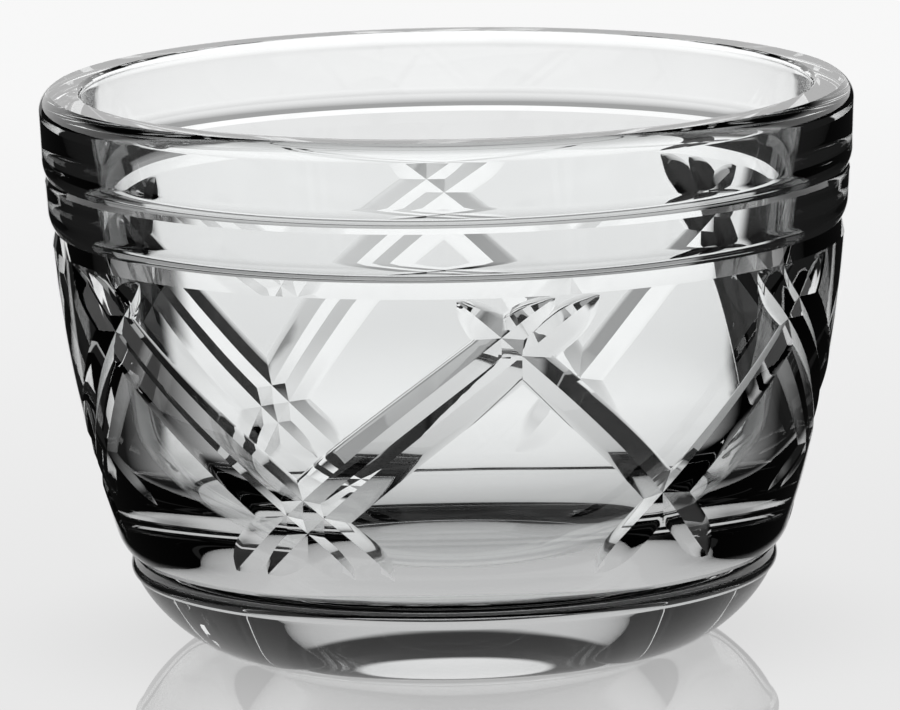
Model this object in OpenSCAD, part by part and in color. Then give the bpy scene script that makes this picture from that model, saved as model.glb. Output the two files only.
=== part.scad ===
// Nut bowl of thick clear glass, pressed and then cut.
// Millimetres, +Z up. The origin is the centre of the ring that the bowl rests on.
// The bowl is one turned blank with straight V cuts ground into its side.

/* [Bowl] */
// Outer diameter at the widest place, just under the rim
bowl_d = 130; // [127.6:0.2:134]
// Height from the table to the flat top of the rim
bowl_h = 89; // [87:0.5:96]

/* [Rim] */
// Outer diameter of the rim's flat top
rim_flat_d = 126.6; // [124:0.2:128.4]
// Width of the rim's flat top
rim_flat_w = 4.25; // [3.2:0.05:5]
// Height of the rounded outer corner under the flat top
shoulder_h = 2.85; // [2:0.05:4]
// How far the outer corner bulges out of a plain chamfer
shoulder_bulge = 0.45; // [0.3:0.05:0.45]
// Width of the rounded inner corner of the rim
lip_w = 0.75; // [0.4:0.05:1.2]
// Height of the rounded inner corner of the rim
lip_h = 1.1; // [0.6:0.05:2]

/* [Bands] */
// Distance from the rim's top down to the upper ring notch
upper_notch_drop = 13.1; // [11:0.1:15]
// Diameter at the bottom of the upper ring notch
upper_notch_d = 128.1; // [126.9:0.1:128.5]
// Distance from the rim's top down to the lower ring notch
lower_notch_drop = 21.8; // [20:0.1:24]
// Diameter at the bottom of the lower ring notch
lower_notch_d = 125.7; // [124.5:0.1:126.2]
// Diameter of the rim band above its rounded lower edge
rim_band_d = 129.4; // [128.9:0.1:129.8]
// Diameter of the second band at its upper edge
second_band_d = 128.5; // [128.1:0.1:129]
// Diameter of the second band above its rounded lower edge
second_band_low_d = 127.9; // [127.2:0.1:128.4]
// Height of the rounded lower edge of each band
band_round_h = 3.3; // [2.4:0.1:4]
// How far that rounded edge bulges out of a plain chamfer
band_round_bulge = 0.25; // [0.05:0.05:0.4]
// Height of the slope from the bottom of each notch to the surface below it
notch_slope_h = 0.9; // [0.6:0.1:1.6]

/* [Body] */
// Diameter of the body just under the lower notch
body_top_d = 126.7; // [126.2:0.1:127.5]
// Diameter of the body above its rounded lower edge
body_low_d = 108; // [105.5:0.5:110]
// Height of that place above the table
body_low_z = 18.4; // [17.4:0.1:20]
// How far the body's side bulges out of a straight cone
body_bulge = 1.45; // [0.5:0.05:2.5]
// How far the body's lower edge bulges out of a plain chamfer
body_edge_bulge = 0.35; // [0.1:0.05:0.6]

/* [Foot] */
// Diameter of the neck between the body and the foot
neck_d = 102.8; // [101:0.1:103.2]
// Height of the step from the foot's top edge to the neck
neck_h = 0.5; // [0.3:0.1:1]
// Diameter of the foot at its top edge
foot_d = 103.5; // [103.3:0.1:105]
// Height of the foot's top edge above the table
foot_h = 13.9; // [12.5:0.1:15]
// Height of the plain lip at the foot's top edge
foot_lip_h = 0.4; // [0.2:0.1:1]
// Outer diameter of the flat ring that the bowl rests on
rest_d = 78.6; // [74:0.2:82]
// Fullness of the foot's side, where 2 would be a round quarter
foot_side_fullness = 1.3; // [1.15:0.05:2]
// Fullness of the foot's underside, where 2 would be a round quarter
foot_under_fullness = 1.55; // [1.3:0.05:2]
// Diameter of the shallow hollow in the underside
base_hollow_d = 64; // [50:1:70]
// Depth of that hollow at its centre
base_hollow = 0.8; // [0.3:0.1:1.5]

/* [Inside] */
// Height of the middle of the inner floor above the table
floor_z = 6.5; // [6:0.1:8]
// Diameter of the flat part of the inner floor
floor_d = 24; // [22:0.5:28]
// Radius of the wide turn from the floor to the inner wall
floor_corner_r = 40; // [39:0.5:42]
// Lean of the inner wall from upright, where that turn ends, in degrees
inner_lean = 11.5; // [11:0.5:13]

/* [Cuts] */
// Depth of each V cut below the side of the body
cut_depth = 0.98; // [0.4:0.02:1.2]
// Width of each V cut at the surface
cut_w = 6.1; // [4.5:0.1:7]
// Length over which each end of a cut runs out to a point
runout = 7.2; // [4:0.2:12]
// Number of times that the pattern repeats round the bowl
repeats = 3; // [2:1:3]
// Direction of the first crossing of double cuts, in degrees from the front
first_crossing = -24.5; // [-60:0.5:60]
// Half of the angle between two crossing double cuts at their lower ends
double_low_a = 11.4; // [9:0.2:14]
// Half of the angle between two crossing double cuts at their upper ends
double_top_a = 42.7; // [38:0.2:46]
// Angle between the two cuts that run side by side in a double cut
pair_a = 6.6; // [5:0.1:8]
// Half of the angle between two crossing single cuts at their lower ends
single_low_a = 11.8; // [9:0.2:14]
// Half of the angle between two crossing single cuts at their upper ends
single_top_a = 34.6; // [31:0.2:38]
// Distance from the lower notch down to the upper tips of the cuts
top_tip_gap = 2.9; // [1.5:0.1:6]
// Distance from the body's rounded lower edge up to the lower tips of the cuts
low_tip_gap = 0.3; // [0.2:0.1:4]

/* [Hidden] */

turn_steps = 192;
corner_steps = 6;
side_steps = 8;
foot_steps = 14;
floor_steps = 14;
cut_steps = 11;
runout_steps = 3;
cutter_over = 0.5;

// Heights of the places where the profile changes
upper_notch_z = bowl_h - upper_notch_drop;
lower_notch_z = bowl_h - lower_notch_drop;
body_top_z = lower_notch_z - notch_slope_h;
neck_z = foot_h + neck_h;

// Inner wall, tangent to the turn from the floor
mouth_d = rim_flat_d - 2 * rim_flat_w - 2 * lip_w;
mouth_z = bowl_h - lip_h;
inner_low_r = floor_d / 2 + floor_corner_r * cos(inner_lean);
inner_low_z = floor_z + floor_corner_r * (1 - sin(inner_lean));
inner_chord = norm([mouth_d / 2 - inner_low_r, mouth_z - inner_low_z]);
inner_chord_lean = atan2(mouth_d / 2 - inner_low_r, mouth_z - inner_low_z);
inner_bulge = inner_chord / 2 * tan((inner_lean - inner_chord_lean) / 2);

// The circle that the body's side follows
body_low = [body_low_d / 2, body_low_z];
body_top = [body_top_d / 2, body_top_z];
body_chord = norm(body_top - body_low);
body_side_r = arc_radius(body_chord, body_bulge);
body_side_centre = arc_centre(body_low, body_top, body_bulge);

// Azimuths are measured in degrees from the front, to the right
function radius_at(z) =
    body_side_centre[0] + sqrt(pow(body_side_r, 2) - pow(z - body_side_centre[1], 2));
function on_side(azimuth, z) = [radius_at(z) * sin(azimuth), -radius_at(z) * cos(azimuth), z];

// A circular arc from p to q that bulges to the right of the way from p to q, or to the left for a bulge under 0
function arc_radius(chord, bulge) = (chord * chord / 4 + bulge * bulge) / (2 * bulge);
function right_of(p, q) = [q[1] - p[1], p[0] - q[0]] / norm(q - p);
function arc_centre(p, q, bulge) =
    (p + q) / 2 - right_of(p, q) * (arc_radius(norm(q - p), bulge) - bulge);
function arc_between(p, q, bulge, steps) =
    let (
        centre = arc_centre(p, q, bulge),
        radius = arc_radius(norm(q - p), bulge),
        start = atan2(p[1] - centre[1], p[0] - centre[0]),
        sweep = 2 * asin(norm(q - p) / (2 * radius))
    )
    [for (i = [0:steps]) centre + abs(radius) * [cos(start + sweep * i / steps), sin(start + sweep * i / steps)]];

// The rounded foot, from the resting ring up to the lip, as a full or slack quarter
foot_curve = [
    for (i = [0:foot_steps])
        let (a = 90 - 90 * i / foot_steps)
            [
                rest_d / 2 + (foot_d - rest_d) / 2 * pow(cos(a), 2 / foot_side_fullness),
                (foot_h - foot_lip_h) * (1 - pow(sin(a), 2 / foot_under_fullness))
            ]
];
base_curve = [
    for (i = [0:corner_steps])
        let (share = i / corner_steps)
            [base_hollow_d / 2 * share, base_hollow * (1 - share * share)]
];
floor_turn = [
    for (i = [0:floor_steps])
        let (a = inner_lean + (90 - inner_lean) * i / floor_steps)
            [floor_d / 2 + floor_corner_r * cos(a), floor_z + floor_corner_r * (1 - sin(a))]
];

outer_profile = concat(
    base_curve,
    foot_curve,
    [[foot_d / 2, foot_h]],
    arc_between([neck_d / 2, neck_z], body_low, body_edge_bulge, corner_steps),
    arc_between(body_low, body_top, body_bulge, side_steps),
    arc_between(
        [lower_notch_d / 2, lower_notch_z],
        [second_band_low_d / 2, lower_notch_z + band_round_h],
        band_round_bulge,
        corner_steps
    ),
    [[second_band_d / 2, upper_notch_z - notch_slope_h]],
    arc_between(
        [upper_notch_d / 2, upper_notch_z],
        [rim_band_d / 2, upper_notch_z + band_round_h],
        band_round_bulge,
        corner_steps
    ),
    arc_between([bowl_d / 2, bowl_h - shoulder_h], [rim_flat_d / 2, bowl_h], shoulder_bulge, corner_steps)
);
inner_profile = concat(
    arc_between([rim_flat_d / 2 - rim_flat_w, bowl_h], [mouth_d / 2, mouth_z], lip_w / 3, corner_steps),
    arc_reversed(arc_between([inner_low_r, inner_low_z], [mouth_d / 2, mouth_z], inner_bulge, side_steps)),
    floor_turn,
    [[0, floor_z]]
);
function arc_reversed(points) = [for (i = [len(points) - 1:-1:0]) points[i]];

// The blank before cutting
module blank() {
    rotate_extrude($fn = turn_steps)
        polygon(concat(outer_profile, inner_profile));
}

// A V cut follows the side at an even depth, so its cutter is swept along the wall
function unit(v) = v / norm(v);
function side_normal(azimuth, z) =
    let (out = radius_at(z) - body_side_centre[0])
    unit([out * sin(azimuth), -out * cos(azimuth), z - body_side_centre[1]]);
function along_cut(from, to, share) = from + (to - from) * share;

// Share of the length, and depth, at each place where the cutter's V is drawn; its ends are points above the glass
cut_slope = 2 * cut_depth / cut_w;
function runout_place(share) = [share, cut_depth * (1 - pow(1 - share, 2))];
runout_places = [
    for (i = [-1:runout_steps])
        runout_place(i < 0 ? 1 - sqrt(1 + cutter_over / cut_depth) : i / runout_steps)
];

// The three corners of the cutter's V at one place on the wall: its bottom, then its two upper corners
function v_corners(azimuth, z, ahead, sunk) =
    let (
        normal = side_normal(azimuth, z),
        surface = on_side(azimuth, z),
        across = unit(cross(normal, ahead)),
        half = (sunk + cutter_over) / cut_slope
    )
    [
        surface - normal * sunk,
        surface + normal * cutter_over + across * half,
        surface + normal * cutter_over - across * half
    ];

// One V cut from [azimuth, height] to [azimuth, height], with pointed ends
module cut(low, top) {
    mid_r = radius_at((low[1] + top[1]) / 2);
    length = norm([mid_r * (top[0] - low[0]) * PI / 180, top[1] - low[1]]);
    reach = runout / length;
    places = concat(
        [for (p = runout_places) [p[0] * reach, p[1]]],
        [for (i = [1:cut_steps - 1]) [along_cut(reach, 1 - reach, i / cut_steps), cut_depth]],
        [for (i = [len(runout_places) - 1:-1:0]) [1 - runout_places[i][0] * reach, runout_places[i][1]]]
    );
    rings = [
        for (p = places)
            let (
                at = along_cut(low, top, p[0]),
                ahead_to = along_cut(low, top, p[0] + 0.001),
                ahead = on_side(ahead_to[0], ahead_to[1]) - on_side(at[0], at[1])
            )
            v_corners(at[0], at[1], ahead, p[1])
    ];
    last = len(rings) - 1;
    points = concat(
        [rings[0][0]],
        [for (i = [1:last - 1]) each rings[i]],
        [rings[last][0]]
    );
    tip = len(points) - 1;
    polyhedron(
        points,
        concat(
            [for (k = [0:2]) [0, 1 + k, 1 + (k + 1) % 3]],
            [
                for (i = [0:last - 3], k = [0:2])
                    let (a = 1 + 3 * i + k, b = 1 + 3 * i + (k + 1) % 3)
                        each [[a, b + 3, b], [a, a + 3, b + 3]]
            ],
            [for (k = [0:2]) [tip, tip - 3 + (k + 1) % 3, tip - 3 + k]]
        )
    );
}

// Two pairs of cuts that cross low on the side, and two single cuts that cross half a repeat on
module cuts() {
    low_z = body_low_z + low_tip_gap;
    top_z = lower_notch_z - top_tip_gap;
    for (i = [0:repeats - 1]) {
        double_at = first_crossing + 360 / repeats * i;
        single_at = double_at + 180 / repeats;
        for (hand = [-1, 1]) {
            for (offset = [-pair_a / 2, pair_a / 2])
                cut(
                    [double_at + offset - hand * double_low_a, low_z],
                    [double_at + offset + hand * double_top_a, top_z]
                );
            cut([single_at - hand * single_low_a, low_z], [single_at + hand * single_top_a, top_z]);
        }
    }
}

module bowl() {
    color("gainsboro")
        difference() {
            blank();
            cuts();
        }
}

bowl();
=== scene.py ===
"""Looks of a clear pressed and cut glass nut bowl on a pale table, whose glow carries painted light and painted
shade.
"""

import logging
import math
from dataclasses import dataclass, field
from enum import Enum

import bpy
import numpy as np
from mathutils import Matrix, Vector


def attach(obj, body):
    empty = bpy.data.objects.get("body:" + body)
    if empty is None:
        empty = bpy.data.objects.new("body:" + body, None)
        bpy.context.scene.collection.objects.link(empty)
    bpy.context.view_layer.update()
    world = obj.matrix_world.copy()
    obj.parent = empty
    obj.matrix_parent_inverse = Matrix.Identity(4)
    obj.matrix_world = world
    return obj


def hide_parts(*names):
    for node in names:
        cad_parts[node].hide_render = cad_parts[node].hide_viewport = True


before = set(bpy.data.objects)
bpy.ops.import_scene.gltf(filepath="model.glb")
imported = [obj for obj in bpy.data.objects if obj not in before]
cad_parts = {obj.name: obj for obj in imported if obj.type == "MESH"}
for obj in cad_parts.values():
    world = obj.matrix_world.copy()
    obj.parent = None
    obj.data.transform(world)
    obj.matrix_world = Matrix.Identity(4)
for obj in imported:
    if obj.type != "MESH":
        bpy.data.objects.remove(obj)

LOG = logging.getLogger("nut_bowl")
MM = 0.001
SAME_PLACE = 1e-6
SOFT = "SMOOTHSTEP"

Point = tuple[float, float]
Colour = tuple[float, float, float, float]


def linear(hex_colour: str) -> Colour:
    """Turns an sRGB colour into the linear values that shaders take.

    Args:
        hex_colour: Six hexadecimal digits, such as "f4f6f5".

    Returns:
        Red, green, blue and an alpha of 1.
    """
    parts = [int(hex_colour[i : i + 2], 16) / 255 for i in (0, 2, 4)]
    red, green, blue = (p / 12.92 if p <= 0.04045 else ((p + 0.055) / 1.055) ** 2.4 for p in parts)
    return (red, green, blue, 1.0)


def add_node(tree: bpy.types.NodeTree, kind: str, links: dict | None = None, **settings: object) -> bpy.types.Node:
    """Adds one shader node with its settings and links.

    Args:
        tree: The node tree that gets the node.
        kind: The node's type, without its "ShaderNode" prefix.
        links: Input name or index to a value, or to the output socket that feeds it.
        **settings: Attributes of the node, such as operation.

    Returns:
        The new node.
    """
    node = tree.nodes.new("ShaderNode" + kind)
    for name, value in settings.items():
        setattr(node, name, value)
    for name, value in (links or {}).items():
        if isinstance(value, bpy.types.NodeSocket):
            tree.links.new(value, node.inputs[name])
        else:
            node.inputs[name].default_value = value
    return node


class Finish(Enum):
    """The finishes that the bowl's surface carries."""

    POLISHED = "fire-polished glass"
    CUT = "wheel-cut glass"


@dataclass(frozen=True)
class ClearGlass:
    """Clear soda-lime glass, pressed in a mould and fire-polished, or cut with a wheel and polished."""

    # To the eye it has no colour of its own and no haze, and shows what is behind it. The pressed wall sways that
    # view in long, low waves, as a mould leaves them, and a cut face has the short, fine waves of its wheel. The
    # wheel's own marks are finer than the render shows, so they are drawn as coarse as they need to show.

    finish: Finish
    colour: str = "fbfcfc"
    ior: float = 1.52
    roughness: float = 0.0
    mould_wave_mm: float = 24.0
    mould_depth_mm: float = 0.12
    wheel_wave_mm: float = 1.6
    wheel_depth_mm: float = 0.002

    def build(self) -> bpy.types.Material:
        """Makes the material.

        Returns:
            A material whose surface is glass with the finish's faint relief.
        """
        material = bpy.data.materials.new(self.finish.value)
        material.use_nodes = True
        tree = material.node_tree
        shader = tree.nodes["Principled BSDF"]
        shader.inputs["Base Color"].default_value = linear(self.colour)
        shader.inputs["Roughness"].default_value = self.roughness
        shader.inputs["IOR"].default_value = self.ior
        shader.inputs["Transmission Weight"].default_value = 1.0
        tree.links.new(self.relief(tree), shader.inputs["Normal"])
        return material

    def relief(self, tree: bpy.types.NodeTree) -> bpy.types.NodeSocket:
        """Draws the finish's faint relief.

        Args:
            tree: The material's node tree.

        Returns:
            The normal that bends the view a little.
        """
        wave, depth = {
            Finish.POLISHED: (self.mould_wave_mm, self.mould_depth_mm),
            Finish.CUT: (self.wheel_wave_mm, self.wheel_depth_mm),
        }[self.finish]
        place = add_node(tree, "TexCoord").outputs["Object"]
        waves = add_node(tree, "TexNoise", {"Vector": place, "Scale": 1 / (wave * MM), "Detail": 0.0})
        bump = add_node(tree, "Bump", {"Strength": 1.0, "Distance": depth * MM, "Height": waves.outputs[0]})
        return bump.outputs["Normal"]


@dataclass
class Profile:
    """The bowl's turned profile, in millimetres from its axis and from the table."""

    height: float = 89.0
    rim_r: float = 65.0
    rim_flat_r: float = 63.3
    rim_flat_w: float = 4.25
    shoulder_h: float = 2.85
    shoulder_bulge: float = 0.45
    shoulder_steps: int = 20
    lip_w: float = 0.75
    lip_h: float = 1.1
    lip_bulge: float = 0.25
    lip_steps: int = 8
    upper_notch_z: float = 75.9
    upper_notch_r: float = 64.05
    lower_notch_z: float = 67.2
    lower_notch_r: float = 62.85
    rim_band_r: float = 64.7
    second_band_r: float = 64.25
    second_band_low_r: float = 63.95
    band_round_h: float = 3.3
    band_round_bulge: float = 0.25
    band_steps: int = 9
    notch_slope_h: float = 0.9
    worn_slope_h: float = 1.9
    body_top_r: float = 63.35
    body_low_r: float = 54.0
    body_low_z: float = 18.4
    body_bulge: float = 1.45
    body_steps: int = 60
    body_edge_bulge: float = 0.35
    body_edge_steps: int = 12
    neck_r: float = 51.4
    neck_h: float = 0.5
    foot_r: float = 51.75
    foot_h: float = 13.9
    foot_lip_h: float = 0.4
    foot_side_fullness: float = 1.3
    foot_under_fullness: float = 1.55
    foot_points: int = 33
    foot_round_h: float = 2.6
    foot_round_in: float = 0.3
    foot_round_bulge: float = 0.6
    foot_round_rise: float = 0.3
    foot_round_steps: int = 12
    foot_groove: float = 0.45
    rest_r: float = 39.3
    hollow_r: float = 32.0
    hollow: float = 0.8
    hollow_points: int = 10
    floor_z: float = 6.5
    floor_r: float = 12.0
    floor_shares: tuple[float, ...] = (0.66, 0.33, 0.0)
    floor_corner_r: float = 40.0
    floor_corner_points: int = 33
    inner_lean: float = 11.5
    inner_steps: int = 30
    columns: int = 288

    @property
    def body_top(self) -> Point:
        """The body's upper edge, just under the lower notch."""
        return (self.body_top_r, self.lower_notch_z - self.notch_slope_h)

    @property
    def body_low(self) -> Point:
        """The body's lower edge, above the neck."""
        return (self.body_low_r, self.body_low_z)

    @staticmethod
    def arc_circle(start: Point, end: Point, bulge: float) -> tuple[np.ndarray, float]:
        """Finds the circle of an arc between two points.

        Args:
            start: First point.
            end: Last point.
            bulge: Greatest distance of the arc from the straight line.

        Returns:
            The circle's centre and its radius.
        """
        p, q = np.array(start, float), np.array(end, float)
        chord = np.linalg.norm(q - p)
        radius = (chord**2 / 4 + bulge**2) / (2 * bulge)
        right = np.array([q[1] - p[1], p[0] - q[0]]) / chord
        return (p + q) / 2 - right * (radius - bulge), radius

    @staticmethod
    def arc(start: Point, end: Point, bulge: float, steps: int) -> list[Point]:
        """Draws a circular arc that bulges to the right of the way from start to end.

        Args:
            start: First point.
            end: Last point.
            bulge: Greatest distance of the arc from the straight line.
            steps: Number of straight steps that stand for the arc.

        Returns:
            The points of the arc, both ends included.
        """
        p, q = np.array(start, float), np.array(end, float)
        centre, radius = Profile.arc_circle(start, end, bulge)
        first = math.atan2(*(p - centre)[::-1])
        sweep = 2 * math.asin(np.linalg.norm(q - p) / (2 * radius))
        angles = first + sweep * np.linspace(0, 1, steps + 1)
        return [(centre[0] + radius * math.cos(a), centre[1] + radius * math.sin(a)) for a in angles]

    def body_circle(self) -> tuple[np.ndarray, float]:
        """Gives the circle that the body's side follows."""
        return self.arc_circle(self.body_low, self.body_top, self.body_bulge)

    def radius_at(self, z: float) -> float:
        """Gives the body's radius at a height."""
        centre, radius = self.body_circle()
        return centre[0] + math.sqrt(radius**2 - (z - centre[1]) ** 2)

    def foot(self) -> list[Point]:
        """Draws the hollow underside, the foot's rounded side and its soft top edge, which ends in a fine groove.

        Returns:
            The points from the centre of the underside outwards.
        """
        hollow = [(self.hollow_r * s, self.hollow * (1 - s * s)) for s in np.linspace(0, 1, self.hollow_points)]
        side_w, side_h = self.foot_r - self.rest_r, self.foot_h - self.foot_lip_h
        side = [
            (
                self.rest_r + side_w * math.cos(a) ** (2 / self.foot_side_fullness),
                side_h * (1 - math.sin(a) ** (2 / self.foot_under_fullness)),
            )
            for a in np.radians(np.linspace(90, 0, self.foot_points))
        ]
        round_low = (self.foot_r - self.foot_round_in, self.foot_h - self.foot_round_h)
        groove = (self.neck_r - self.foot_groove, self.foot_h + self.foot_round_rise)
        edge = self.arc(round_low, groove, self.foot_round_bulge, self.foot_round_steps)
        return hollow + [p for p in side if p[1] < round_low[1]] + edge

    def body(self) -> list[Point]:
        """Draws the neck and the body's side, up to the worn slope under the lower notch.

        Returns:
            The points from the neck upwards.
        """
        neck = (self.neck_r, self.foot_h + self.neck_h)
        side = self.arc(self.body_low, self.body_top, self.body_bulge, self.body_steps)
        worn_z = self.lower_notch_z - self.worn_slope_h
        return self.arc(neck, self.body_low, self.body_edge_bulge, self.body_edge_steps) + [
            p for p in side[1:] if p[1] < worn_z
        ]

    def bands(self) -> list[Point]:
        """Draws the two plain bands above their notches, and the rim's rounded shoulder.

        Returns:
            The points from the lower notch upwards.
        """
        second = (self.second_band_low_r, self.lower_notch_z + self.band_round_h)
        rim = (self.rim_band_r, self.upper_notch_z + self.band_round_h)
        return (
            self.arc((self.lower_notch_r, self.lower_notch_z), second, self.band_round_bulge, self.band_steps)
            + [(self.second_band_r, self.upper_notch_z - self.notch_slope_h)]
            + self.arc((self.upper_notch_r, self.upper_notch_z), rim, self.band_round_bulge, self.band_steps)
            + self.arc(
                (self.rim_r, self.height - self.shoulder_h),
                (self.rim_flat_r, self.height),
                self.shoulder_bulge,
                self.shoulder_steps,
            )
        )

    def inside(self) -> list[Point]:
        """Draws the inside, from the rim's inner corner to the centre of the floor.

        Returns:
            The points downwards.
        """
        lean = math.radians(self.inner_lean)
        lip = (self.rim_flat_r - self.rim_flat_w, self.height)
        mouth = (lip[0] - self.lip_w, self.height - self.lip_h)
        corner = [
            (
                self.floor_r + self.floor_corner_r * math.cos(a),
                self.floor_z + self.floor_corner_r * (1 - math.sin(a)),
            )
            for a in np.linspace(lean, math.pi / 2, self.floor_corner_points)
        ]
        low = corner[0]
        chord_lean = math.atan2(mouth[0] - low[0], mouth[1] - low[1])
        bulge = math.dist(mouth, low) / 2 * math.tan((lean - chord_lean) / 2)
        return (
            self.arc(lip, mouth, self.lip_bulge, self.lip_steps)
            + self.arc(low, mouth, bulge, self.inner_steps)[::-1][1:]
            + corner[1:]
            + [(self.floor_r * share, self.floor_z) for share in self.floor_shares]
        )

    def lathe(self) -> bpy.types.Mesh:
        """Turns the whole profile into a closed mesh.

        Returns:
            The mesh, in metres.
        """
        points = self.foot() + self.body() + self.bands() + self.inside()
        kept = [points[0]]
        for p in points[1:]:
            if math.dist(p, kept[-1]) > SAME_PLACE:
                kept.append(p)
        angles = np.arange(self.columns) * 2 * math.pi / self.columns
        verts, rings = [], []
        for r, z in kept:
            if r < SAME_PLACE:
                rings.append([len(verts)])
                verts.append((0.0, 0.0, z * MM))
            else:
                rings.append(list(range(len(verts), len(verts) + self.columns)))
                verts += [(r * math.cos(a) * MM, r * math.sin(a) * MM, z * MM) for a in angles]
        faces = []
        for low, high in zip(rings, rings[1:]):
            for i in range(self.columns):
                j = (i + 1) % self.columns
                corners = [low[i % len(low)], low[j % len(low)], high[j % len(high)], high[i % len(high)]]
                faces.append(list(dict.fromkeys(corners)))
        mesh = bpy.data.meshes.new("blank")
        mesh.from_pydata(verts, [], faces)
        mesh.validate()
        return mesh


@dataclass
class CutPattern:
    """The straight V cuts round the body: pairs that cross low down, and single cuts between them.

    Lengths are in millimetres and azimuths in degrees. Each end of a cut runs out of the glass.
    """

    profile: Profile
    depth: float = 1.2
    width: float = 6.1
    steps: int = 34
    over: float = 0.5
    runout: float = 7.2
    runout_tip: float = 0.05
    runout_next: float = 0.12
    runout_steps: int = 8
    shoulder: float = 0.9
    shoulder_share: float = 0.8
    shoulder_steps: int = 4
    shoulder_rise: float = 0.01
    repeats: int = 3
    first_crossing: float = -24.5
    double_low: float = 11.4
    double_top: float = 42.7
    pair: float = 6.6
    single_low: float = 11.8
    single_top: float = 34.6
    top_gap: float = 2.9
    low_gap: float = 0.3
    look_ahead: float = 1e-3

    def lines(self) -> list[tuple[Point, Point]]:
        """Lists the cuts.

        Returns:
            Lower and upper end of each, as azimuth in degrees from the front and height in millimetres.
        """
        low_z, top_z = self.profile.body_low_z + self.low_gap, self.profile.lower_notch_z - self.top_gap
        found = []
        for i in range(self.repeats):
            double = self.first_crossing + 360 / self.repeats * i
            single = double + 180 / self.repeats
            for hand in (-1, 1):
                for offset in (-self.pair / 2, self.pair / 2):
                    low, top = double + offset - hand * self.double_low, double + offset + hand * self.double_top
                    found.append(((low, low_z), (top, top_z)))
                found.append(((single - hand * self.single_low, low_z), (single + hand * self.single_top, top_z)))
        return found

    def place(self, azimuth: float, z: float) -> tuple[np.ndarray, np.ndarray]:
        """Finds a place on the body's side.

        Args:
            azimuth: Degrees from the front, to the right.
            z: Height.

        Returns:
            The point and the outward normal there.
        """
        a = math.radians(azimuth)
        centre, _ = self.profile.body_circle()
        r = self.profile.radius_at(z)
        out = np.array([(r - centre[0]) * math.sin(a), -(r - centre[0]) * math.cos(a), z - centre[1]])
        return np.array([r * math.sin(a), -r * math.cos(a), z]), out / np.linalg.norm(out)

    def stations(self, length: float) -> list[Point]:
        """Lists where the V is drawn along a cut.

        Args:
            length: The cut's length.

        Returns:
            Share of the length and depth of the V there, from tip to tip.
        """
        # The first station lies outside the glass, and the depth grows as a parabola to the end of the runout.
        reach = self.runout / length
        first = 1 - math.sqrt(1 + self.over / self.depth)
        shares = [first, self.runout_tip, *np.linspace(self.runout_next, 1, self.runout_steps)]
        ends = [(s * reach, self.depth * (1 - (1 - s) ** 2)) for s in shares]
        between = np.linspace(reach, 1 - reach, self.steps + 1)[1:-1]
        return ends + [(s, self.depth) for s in between] + [(1 - s, sunk) for s, sunk in reversed(ends)]

    def section(self, sunk: float, slope: float) -> list[Point]:
        """Draws the V across a cut, with the soft shoulders that polishing leaves.

        Args:
            sunk: Depth of the V below the body's side.
            slope: Rise of the V's flanks per length across.

        Returns:
            Distance to the side and height above the body's side of each corner, from the bottom round.
        """
        # A shoulder is a parabola that leaves the flank at its slope and ends level with the body's side.
        reach = sunk / slope
        soft = min(self.shoulder, self.shoulder_share * reach)
        right = [
            (reach + soft * share, self.shoulder_rise * (1 + share) / 2 - slope * soft * (1 - share) ** 2 / 4)
            for share in np.linspace(-1, 1, self.shoulder_steps + 1)
        ]
        right.append((reach + soft + self.over, self.over))
        return [(0.0, -sunk), *right, *[(-aside, up) for aside, up in reversed(right)]]

    def cutter(self, low: Point, top: Point, finishes: list[bpy.types.Material]) -> bpy.types.Object:
        """Sweeps the V of one cut along the wall.

        Args:
            low: Azimuth and height of the lower tip.
            top: Azimuth and height of the upper tip.
            finishes: The bowl's materials; the cut takes the last.

        Returns:
            A closed object to take away from the blank.
        """
        a, b = np.array(low), np.array(top)
        middle = self.profile.radius_at((low[1] + top[1]) / 2)
        stations = self.stations(math.hypot(math.radians(b[0] - a[0]) * middle, b[1] - a[1]))
        slope = 2 * self.depth / self.width
        verts = []
        for index, (share, sunk) in enumerate(stations):
            point, normal = self.place(*(a + (b - a) * share))
            ahead = self.place(*(a + (b - a) * (share + self.look_ahead)))[0] - point
            across = np.cross(normal, ahead)
            across /= np.linalg.norm(across)
            if 0 < index < len(stations) - 1:
                verts += [point + normal * up + across * aside for aside, up in self.section(sunk, slope)]
            else:
                verts.append(point - normal * sunk)
        mesh = bpy.data.meshes.new("cutter")
        faces = self.skin(len(stations) - 2, len(self.section(self.depth, slope)))
        mesh.from_pydata([tuple(v * MM) for v in verts], [], faces)
        for material in finishes:
            mesh.materials.append(material)
        mesh.polygons.foreach_set("material_index", [len(finishes) - 1] * len(mesh.polygons))
        cutter = bpy.data.objects.new("cutter", mesh)
        bpy.context.scene.collection.objects.link(cutter)
        return cutter

    @staticmethod
    def skin(rings: int, sides: int) -> list[list[int]]:
        """Joins a tip, a row of rings and another tip with faces.

        Args:
            rings: Number of rings.
            sides: Number of corners of each.

        Returns:
            The corners of each face, so that it looks outwards.
        """
        tip = 1 + rings * sides
        faces = [[0, 1 + k, 1 + (k + 1) % sides] for k in range(sides)]
        for i in range(rings - 1):
            for k in range(sides):
                p, q = 1 + sides * i + k, 1 + sides * i + (k + 1) % sides
                faces.append([p, p + sides, q + sides, q])
        faces += [[tip, tip - sides + (k + 1) % sides, tip - sides + k] for k in range(sides)]
        return [face[::-1] for face in faces]


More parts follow.
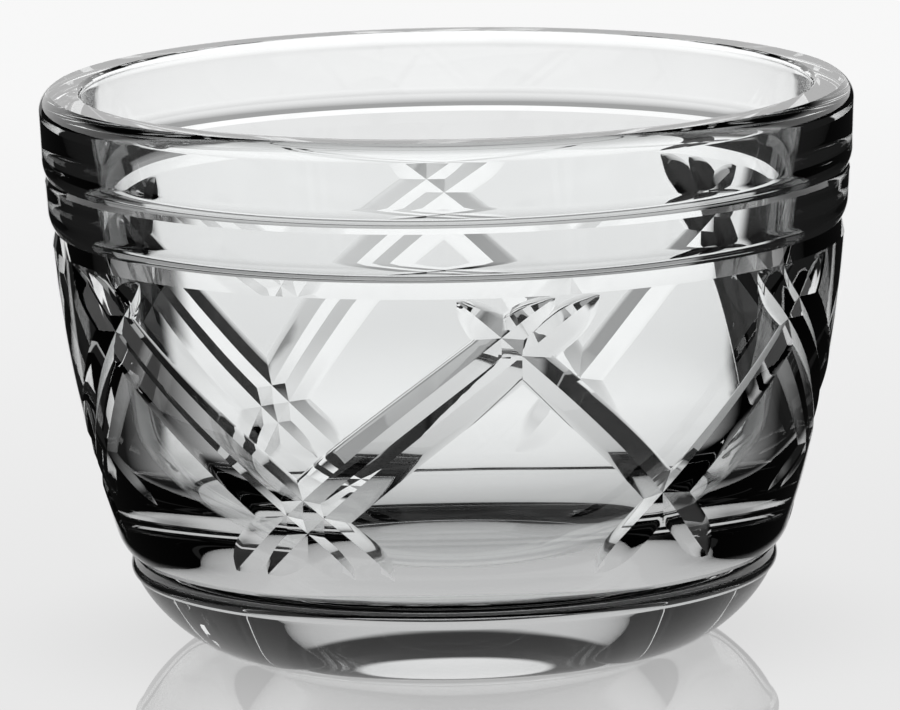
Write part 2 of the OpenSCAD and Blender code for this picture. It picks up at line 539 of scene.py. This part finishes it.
@dataclass
class Bowl:
    """The nut bowl, one piece of glass."""

    profile: Profile = field(default_factory=Profile)
    crease_deg: float = 8.0

    def build(self) -> bpy.types.Object:
        """Turns the blank, cuts it and dresses it.

        Returns:
            The finished bowl.
        """
        bowl = bpy.data.objects.new("glass_bowl", self.profile.lathe())
        bpy.context.scene.collection.objects.link(bowl)
        finishes = [ClearGlass(finish).build() for finish in Finish]
        for material in finishes:
            bowl.data.materials.append(material)
        pattern = CutPattern(self.profile)
        for low, top in pattern.lines():
            self.cut(bowl, pattern.cutter(low, top, finishes))
        self.smooth(bowl)
        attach(bowl, "root")
        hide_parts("bowl")
        return bowl

    def cut(self, bowl: bpy.types.Object, cutter: bpy.types.Object) -> None:
        """Takes one cutter away from the bowl, and deletes it.

        Args:
            bowl: The bowl so far.
            cutter: The closed object to take away.
        """
        modifier = bowl.modifiers.new("cut", "BOOLEAN")
        modifier.operation = "DIFFERENCE"
        modifier.solver = "MANIFOLD"
        modifier.object = cutter
        graph = bpy.context.evaluated_depsgraph_get()
        mesh = bpy.data.meshes.new_from_object(bowl.evaluated_get(graph))
        bowl.modifiers.clear()
        bowl.data = mesh
        bpy.data.objects.remove(cutter)

    def smooth(self, bowl: bpy.types.Object) -> None:
        """Shades the bowl smooth, with crisp edges at the cuts, the notches and the foot.

        Args:
            bowl: The bowl with all its cuts.
        """
        mesh = bowl.data
        mesh.shade_smooth()
        mesh.set_sharp_from_angle(angle=math.radians(self.crease_deg))
        finishes: dict[tuple[int, int], set[int]] = {}
        for face in mesh.polygons:
            for key in face.edge_keys:
                finishes.setdefault(key, set()).add(face.material_index)
        for edge in mesh.edges:
            if len(finishes[edge.key]) > 1:
                edge.use_edge_sharp = True


@dataclass(frozen=True)
class Fade:
    """A level that changes from the first value to the last between a start and an end."""

    start: float
    end: float
    first: float = 1.0
    last: float = 0.0

    def along(self, value: bpy.types.NodeSocket) -> dict[str, object]:
        """Gives the inputs of a Map Range node that follows the fade.

        Args:
            value: The socket that the fade is measured along.

        Returns:
            Input name to its value or the socket that feeds it.
        """
        return {
            "Value": value,
            "From Min": self.start,
            "From Max": self.end,
            "To Min": self.first,
            "To Max": self.last,
        }


def light_level(
    tree: bpy.types.NodeTree, seen: bpy.types.NodeSocket | float, *levels: bpy.types.NodeSocket | float
) -> bpy.types.NodeSocket:
    """Takes the brightest of some levels, or another level for what the camera sees directly.

    Args:
        tree: The node tree.
        seen: The level that the camera sees directly.
        *levels: Sockets or numbers.

    Returns:
        The socket with the strength of the light.
    """
    brightest = levels[0]
    for level in levels[1:]:
        brightest = add_node(tree, "Math", {0: brightest, 1: level}, operation="MAXIMUM").outputs[0]
    straight = add_node(tree, "LightPath").outputs["Is Camera Ray"]
    return add_node(tree, "Mix", {"Factor": straight, "A": brightest, "B": seen}).outputs["Result"]


@dataclass
class Room:
    """The dim room: a soft low panel behind the table, a pale backdrop to mirror, and darkness above.

    The panel is measured as a share of the distance, to the side and up, and the backdrop by the sine of its height.
    """

    white: str = "ffffff"
    dark: float = 0.012
    panel_aside: float = -0.105
    panel_side: Fade = Fade(0.205, 0.225, 0.4, 0.0)
    panel_top: Fade = Fade(0.12, 0.156)
    backdrop: Fade = Fade(0.3, 0.45)
    least_ahead: float = 1e-4
    second_bounce: float = 2.5

    def build(self) -> bpy.types.World:
        """Makes the world's light.

        Returns:
            The world.
        """
        world = bpy.data.worlds.new("studio")
        bpy.context.scene.world = world
        world.use_nodes = True
        tree = world.node_tree
        tree.nodes.clear()
        axes = add_node(tree, "SeparateXYZ", {0: add_node(tree, "TexCoord").outputs["Generated"]})
        panel, backdrop = self.panel(tree, axes), self.mirrored_backdrop(tree, axes)
        level = light_level(tree, 1.0, panel, self.dark, backdrop)
        back = add_node(tree, "Background", {"Color": linear(self.white), "Strength": level})
        add_node(tree, "OutputWorld", {"Surface": back.outputs[0]})
        return world

    def panel(self, tree: bpy.types.NodeTree, axes: bpy.types.Node) -> bpy.types.NodeSocket:
        """Lights the soft panel behind the bowl.

        Args:
            tree: The world's node tree.
            axes: The node that gives X, Y and Z of the direction.

        Returns:
            The level of its light.
        """
        ahead = add_node(tree, "Math", {0: axes.outputs["Y"], 1: self.least_ahead}, operation="MAXIMUM").outputs[0]
        aside = add_node(tree, "Math", {0: axes.outputs["X"], 1: ahead}, operation="DIVIDE").outputs[0]
        from_middle = add_node(tree, "Math", {0: aside, 1: self.panel_aside}, operation="SUBTRACT").outputs[0]
        off = add_node(tree, "Math", {0: from_middle}, operation="ABSOLUTE").outputs[0]
        above = add_node(tree, "Math", {0: axes.outputs["Z"], 1: ahead}, operation="DIVIDE").outputs[0]
        wide = add_node(tree, "MapRange", self.panel_side.along(off), interpolation_type=SOFT).outputs["Result"]
        low = add_node(tree, "MapRange", self.panel_top.along(above), interpolation_type=SOFT).outputs["Result"]
        return add_node(tree, "Math", {0: wide, 1: low}, operation="MULTIPLY").outputs[0]

    def mirrored_backdrop(self, tree: bpy.types.NodeTree, axes: bpy.types.Node) -> bpy.types.NodeSocket:
        """Lights the backdrop that surfaces mirror at a view's first bounce, so that no haze gets into the glass.

        Args:
            tree: The world's node tree.
            axes: The node that gives X, Y and Z of the direction.

        Returns:
            The level of its light.
        """
        rays = add_node(tree, "LightPath")
        fade = self.backdrop.along(axes.outputs["Z"])
        backdrop = add_node(tree, "MapRange", fade, interpolation_type=SOFT).outputs["Result"]
        # The world counts one bounce more than there were, so a view's first bounce reads 2.
        depth = {0: rays.outputs["Ray Depth"], 1: self.second_bounce}
        first = add_node(tree, "Math", depth, operation="LESS_THAN").outputs[0]
        reflected = {0: first, 1: rays.outputs["Is Reflection Ray"]}
        once = add_node(tree, "Math", reflected, operation="MULTIPLY").outputs[0]
        return add_node(tree, "Math", {0: backdrop, 1: once}, operation="MULTIPLY").outputs[0]


@dataclass(frozen=True)
class OpalAcrylic:
    """Opal acrylic, cast and polished, whose glow is painted light and shade in soft-edged fields. Lengths are in
    metres.
    """

    # To the eye it is a pale sheet, painted paler away from the bowl, with a faint mirror image on it and a painted
    # shadow round the bowl's foot. Through the bowl it is a painted bright strip that widens to the back, with dark
    # edges: glass looks clear where it bends the view to the strip, and dark where it bends the view past it.

    colour: str = "fafafa"
    sheen: str = "ffffff"
    ior: float = 1.33
    roughness: float = 0.03
    # Painted light that the glass shows: a dark level, and a bright strip that widens and brightens to the back.
    dark: float = 0.012
    strip_spread: float = 0.17
    strip_side: Fade = Fade(0.055, 0.067)
    strip_front: Fade = Fade(-0.068, -0.056, 0.0, 1.0)
    near: Fade = Fade(0.03, 0.14, 0.6, 1.3)
    far: Fade = Fade(0.14, 0.9, 0.0, 0.2)
    # Painted shadow in a ring under the bowl, with a painted brighter disc inside it.
    ring_inner: Fade = Fade(0.0187, 0.0195, 1.5, 0.015)
    ring_outer: Fade = Fade(0.0237, 0.0245, 0.015, 1.0)
    one_mirror: float = 0.5
    # Painted light of dimmer spokes round the bowl, which only the glass shows.
    spokes: int = 8
    spoke_front: Fade = Fade(-0.6, 0.5, 0.8, 0.0)
    spoke_start: Fade = Fade(0.07, 0.084, 0.0, 1.0)
    # Painted light and shade for the direct view: the sheet paler away from the bowl, with a painted shadow round the
    # foot.
    seen: Fade = Fade(0.08, 0.6, 0.76, 0.93)
    painted_shadow: Fade = Fade(0.0, 0.085, 0.6, 1.0)

    def build(self) -> bpy.types.Material:
        """Makes the material.

        Returns:
            A glowing sheet with a polished surface.
        """
        material = bpy.data.materials.new("opal acrylic")
        material.use_nodes = True
        tree = material.node_tree
        tree.nodes.clear()
        axes = add_node(tree, "SeparateXYZ", {0: add_node(tree, "TexCoord").outputs["Object"]})
        flat = add_node(tree, "CombineXYZ", {"X": axes.outputs["X"], "Y": axes.outputs["Y"]}).outputs[0]
        out = add_node(tree, "VectorMath", {0: flat}, operation="LENGTH").outputs["Value"]
        # The painted light strip, dimmed by the painted ring of shadow under the foot.
        painted_strip = add_node(
            tree, "Math", {0: self.painted_strip(tree, axes), 1: self.painted_ring_shadow(tree, out)}, operation="MULTIPLY"
        ).outputs[0]
        # The glow's strength is painted light: the painted sheet level for the camera, else the brightest painted
        # field.
        level = light_level(tree, self.painted_sheet_level(tree, out), painted_strip, self.dark, self.painted_side_strips(tree, axes, out))
        glow = add_node(tree, "Emission", {"Color": linear(self.colour), "Strength": level})
        gloss = add_node(tree, "BsdfGlossy", {"Color": linear(self.sheen), "Roughness": self.roughness})
        fresnel = add_node(tree, "Fresnel", {"IOR": self.ior})
        mixed = add_node(tree, "MixShader", {0: fresnel.outputs[0], 1: glow.outputs[0], 2: gloss.outputs[0]})
        add_node(tree, "OutputMaterial", {"Surface": mixed.outputs[0]})
        return material

    def painted_strip(self, tree: bpy.types.NodeTree, axes: bpy.types.Node) -> bpy.types.NodeSocket:
        """Paints the light of the strip that runs from under the bowl to the back, wider and brighter as it goes.

        Args:
            tree: The material's node tree.
            axes: The node that gives X and Y of the place.

        Returns:
            The level of its light.
        """
        x, y = axes.outputs["X"], axes.outputs["Y"]
        across = add_node(tree, "Math", {0: x}, operation="ABSOLUTE").outputs[0]
        back = add_node(tree, "Math", {0: y, 1: 0.0}, operation="MAXIMUM").outputs[0]
        grown = add_node(tree, "Math", {0: back, 1: self.strip_spread}, operation="MULTIPLY").outputs[0]
        beyond = add_node(tree, "Math", {0: across, 1: grown}, operation="SUBTRACT").outputs[0]
        side = add_node(tree, "MapRange", self.strip_side.along(beyond), interpolation_type=SOFT).outputs["Result"]
        near = add_node(tree, "MapRange", self.near.along(y)).outputs["Result"]
        far = add_node(tree, "MapRange", self.far.along(y)).outputs["Result"]
        bright = add_node(tree, "Math", {0: near, 1: far}, operation="ADD").outputs[0]
        light = add_node(tree, "Math", {0: side, 1: bright}, operation="MULTIPLY").outputs[0]
        front = add_node(tree, "MapRange", self.strip_front.along(y), interpolation_type=SOFT).outputs["Result"]
        return add_node(tree, "Math", {0: light, 1: front}, operation="MULTIPLY").outputs[0]

    def painted_ring_shadow(self, tree: bpy.types.NodeTree, out: bpy.types.NodeSocket) -> bpy.types.NodeSocket:
        """Paints a dark ring of shadow under the bowl, with a painted brighter disc inside it, only for a view that
        is mirrored inside the foot's rounded side.

        Args:
            tree: The material's node tree.
            out: Distance from the bowl's axis.

        Returns:
            The share of light that is left.
        """
        inner = add_node(tree, "MapRange", self.ring_inner.along(out), interpolation_type=SOFT).outputs["Result"]
        outer = add_node(tree, "MapRange", self.ring_outer.along(out), interpolation_type=SOFT).outputs["Result"]
        ring = add_node(tree, "Math", {0: inner, 1: outer}, operation="MAXIMUM").outputs[0]
        mirrors = add_node(tree, "LightPath").outputs["Glossy Depth"]
        inside = add_node(tree, "Math", {0: mirrors, 1: self.one_mirror}, operation="GREATER_THAN").outputs[0]
        return add_node(tree, "Mix", {"Factor": inside, "A": 1.0, "B": ring}).outputs["Result"]

    def painted_side_strips(
        self, tree: bpy.types.NodeTree, axes: bpy.types.Node, out: bpy.types.NodeSocket
    ) -> bpy.types.NodeSocket:
        """Paints the light of dimmer strips at the sides and before the bowl, so that the glass is clear from all
        round.

        Args:
            tree: The material's node tree.
            axes: The node that gives X and Y of the place.
            out: Distance from the bowl's axis.

        Returns:
            The level of their light, which only reaches the eye through the glass.
        """
        x, y = axes.outputs["X"], axes.outputs["Y"]
        half_gap = math.pi / self.spokes
        azimuth = add_node(tree, "Math", {0: x, 1: y}, operation="ARCTAN2").outputs[0]
        shifted = add_node(tree, "Math", {0: azimuth, 1: half_gap}, operation="ADD").outputs[0]
        inside = add_node(tree, "Math", {0: shifted, 1: half_gap}, operation="PINGPONG").outputs[0]
        off = add_node(tree, "Math", {0: half_gap, 1: inside}, operation="SUBTRACT").outputs[0]
        beyond = add_node(tree, "Math", {0: off, 1: self.strip_spread}, operation="SUBTRACT").outputs[0]
        edge = add_node(tree, "Math", {0: beyond, 1: out}, operation="MULTIPLY").outputs[0]
        spoke = add_node(tree, "MapRange", self.strip_side.along(edge), interpolation_type=SOFT).outputs["Result"]
        around = add_node(tree, "Math", {0: y, 1: out}, operation="DIVIDE").outputs[0]
        front = add_node(tree, "MapRange", self.spoke_front.along(around)).outputs["Result"]
        clear = add_node(tree, "MapRange", self.spoke_start.along(out), interpolation_type=SOFT).outputs["Result"]
        through = add_node(tree, "LightPath").outputs["Is Transmission Ray"]
        for share in (front, clear, through):
            spoke = add_node(tree, "Math", {0: spoke, 1: share}, operation="MULTIPLY").outputs[0]
        return spoke

    def painted_sheet_level(self, tree: bpy.types.NodeTree, out: bpy.types.NodeSocket) -> bpy.types.NodeSocket:
        """Gives the painted level of the sheet that the camera sees: paler away from the bowl, with a painted shadow
        round the bowl's foot.

        Args:
            tree: The material's node tree.
            out: Distance from the bowl's axis.

        Returns:
            The level that the camera sees directly.
        """
        pale = add_node(tree, "MapRange", self.seen.along(out)).outputs["Result"]
        # Painted shadow: the glow is dimmer near the bowl's axis, set by place alone.
        painted_shadow = add_node(tree, "MapRange", self.painted_shadow.along(out), interpolation_type=SOFT).outputs["Result"]
        return add_node(tree, "Math", {0: pale, 1: painted_shadow}, operation="MULTIPLY").outputs[0]


@dataclass
class Table:
    """The plain table that the bowl stands on, in metres."""

    size: float = 16.0
    gap: float = 0.0001
    # Its glow carries painted light and a painted shadow round the bowl's foot.
    finish: OpalAcrylic = OpalAcrylic()

    def build(self) -> bpy.types.Object:
        """Makes the table's top, a hair under the bowl.

        Returns:
            The table.
        """
        half = self.size / 2
        mesh = bpy.data.meshes.new("table")
        mesh.from_pydata([(-half, -half, 0), (half, -half, 0), (half, half, 0), (-half, half, 0)], [], [(0, 1, 2, 3)])
        mesh.materials.append(self.finish.build())
        table = bpy.data.objects.new("table", mesh)
        bpy.context.scene.collection.objects.link(table)
        table.location.z = -self.gap
        return table


@dataclass
class Camera:
    """The camera at the photograph's angle, measured from the rim's and foot's ellipses."""

    place_mm: tuple[float, float, float] = (-0.13, -1657.7, 333.2)
    target_mm: tuple[float, float, float] = (-0.13, 0.0, 45.03)
    roll_deg: float = -1.031
    lens_mm: float = 420.3
    sensor_mm: float = 36.0
    reach: float = 100.0

    def build(self) -> bpy.types.Object:
        """Makes the camera and sets it as the scene's.

        Returns:
            The camera.
        """
        data = bpy.data.cameras.new("camera")
        data.lens = self.lens_mm
        data.sensor_width = self.sensor_mm
        data.sensor_fit = "HORIZONTAL"
        data.clip_end = self.reach
        camera = bpy.data.objects.new("camera", data)
        place, target = Vector(self.place_mm) * MM, Vector(self.target_mm) * MM
        turn = (target - place).to_track_quat("-Z", "Y").to_matrix().to_4x4()
        camera.matrix_world = Matrix.Translation(place) @ turn @ Matrix.Rotation(math.radians(self.roll_deg), 4, "Z")
        bpy.context.scene.collection.objects.link(camera)
        bpy.context.scene.camera = camera
        return camera


def main() -> None:
    """Builds the bowl, the room, the table and the camera, and notes the sizes."""
    logging.basicConfig(level=logging.INFO, format="%(message)s")
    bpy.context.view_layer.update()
    bowl = Bowl().build()
    LOG.info("bowl: %d faces", len(bowl.data.polygons))
    world = Room().build()
    LOG.info("room: %d light nodes", len(world.node_tree.nodes))
    table = Table().build()
    LOG.info("table: %s", table.active_material.name)
    camera = Camera().build()
    LOG.info("camera: %.0f mm lens", camera.data.lens)
    bpy.context.scene.view_settings.view_transform = "Standard"


if __name__ == "__main__":
    main()
